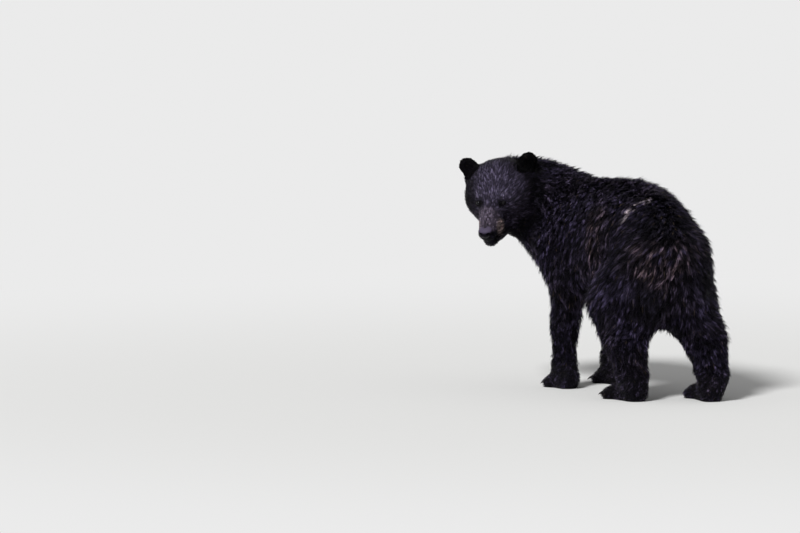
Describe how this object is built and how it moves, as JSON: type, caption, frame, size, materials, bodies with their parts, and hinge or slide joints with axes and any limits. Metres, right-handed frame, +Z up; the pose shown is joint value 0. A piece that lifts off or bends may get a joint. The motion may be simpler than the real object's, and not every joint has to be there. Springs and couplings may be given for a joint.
{
  "type": "black bear, life-size still model",
  "caption": "Life-size still model of an American black bear standing on four feet and looking back over its left shoulder.",
  "frame": {"origin": "on the floor under the middle of the model's box", "axes": "+X from rump to chest, the longest extent; +Y to the left of the bear; +Z up"},
  "size_m": [1.1386, 0.7162, 0.9026],
  "materials": {
    "coat": "black fur with a cool sheen and brown flecks",
    "muzzle_fur": "very short grey-brown fur",
    "nose_pad": "bare moist skin with a fine pebbled grain",
    "eye": "wet, dark brown",
    "claw": "dark horn, satin"
  },
  "bodies": {
    "root": {"nose": "nose_pad", "muzzle": "muzzle_fur", "lower_jaw": "muzzle_fur", "eye_left": "eye", "ear_left": "coat", "eye_right": "eye", "ear_right": "coat", "head": "coat", "foreleg_upper_left": "coat", "foreleg_upper_right": "coat", "hindleg_thigh_left": "coat", "hindleg_thigh_right": "coat", "neck": "coat", "chest": "coat", "barrel": "coat", "rump": "coat", "tail": "coat", "foreleg_forearm_left": "coat", "claw_fore_left_1": "claw", "claw_fore_left_2": "claw", "claw_fore_left_3": "claw", "claw_fore_left_4": "claw", "claw_fore_left_5": "claw", "forepaw_left": "coat", "foreleg_forearm_right": "coat", "claw_fore_right_1": "claw", "claw_fore_right_2": "claw", "claw_fore_right_3": "claw", "claw_fore_right_4": "claw", "claw_fore_right_5": "claw", "forepaw_right": "coat", "hindleg_shank_left": "coat", "claw_hind_left_1": "claw", "claw_hind_left_2": "claw", "claw_hind_left_3": "claw", "claw_hind_left_4": "claw", "claw_hind_left_5": "claw", "hindpaw_left": "coat", "hindleg_shank_right": "coat", "claw_hind_right_1": "claw", "claw_hind_right_2": "claw", "claw_hind_right_3": "claw", "claw_hind_right_4": "claw", "claw_hind_right_5": "claw", "hindpaw_right": "coat"}
  },
  "joints": []
}
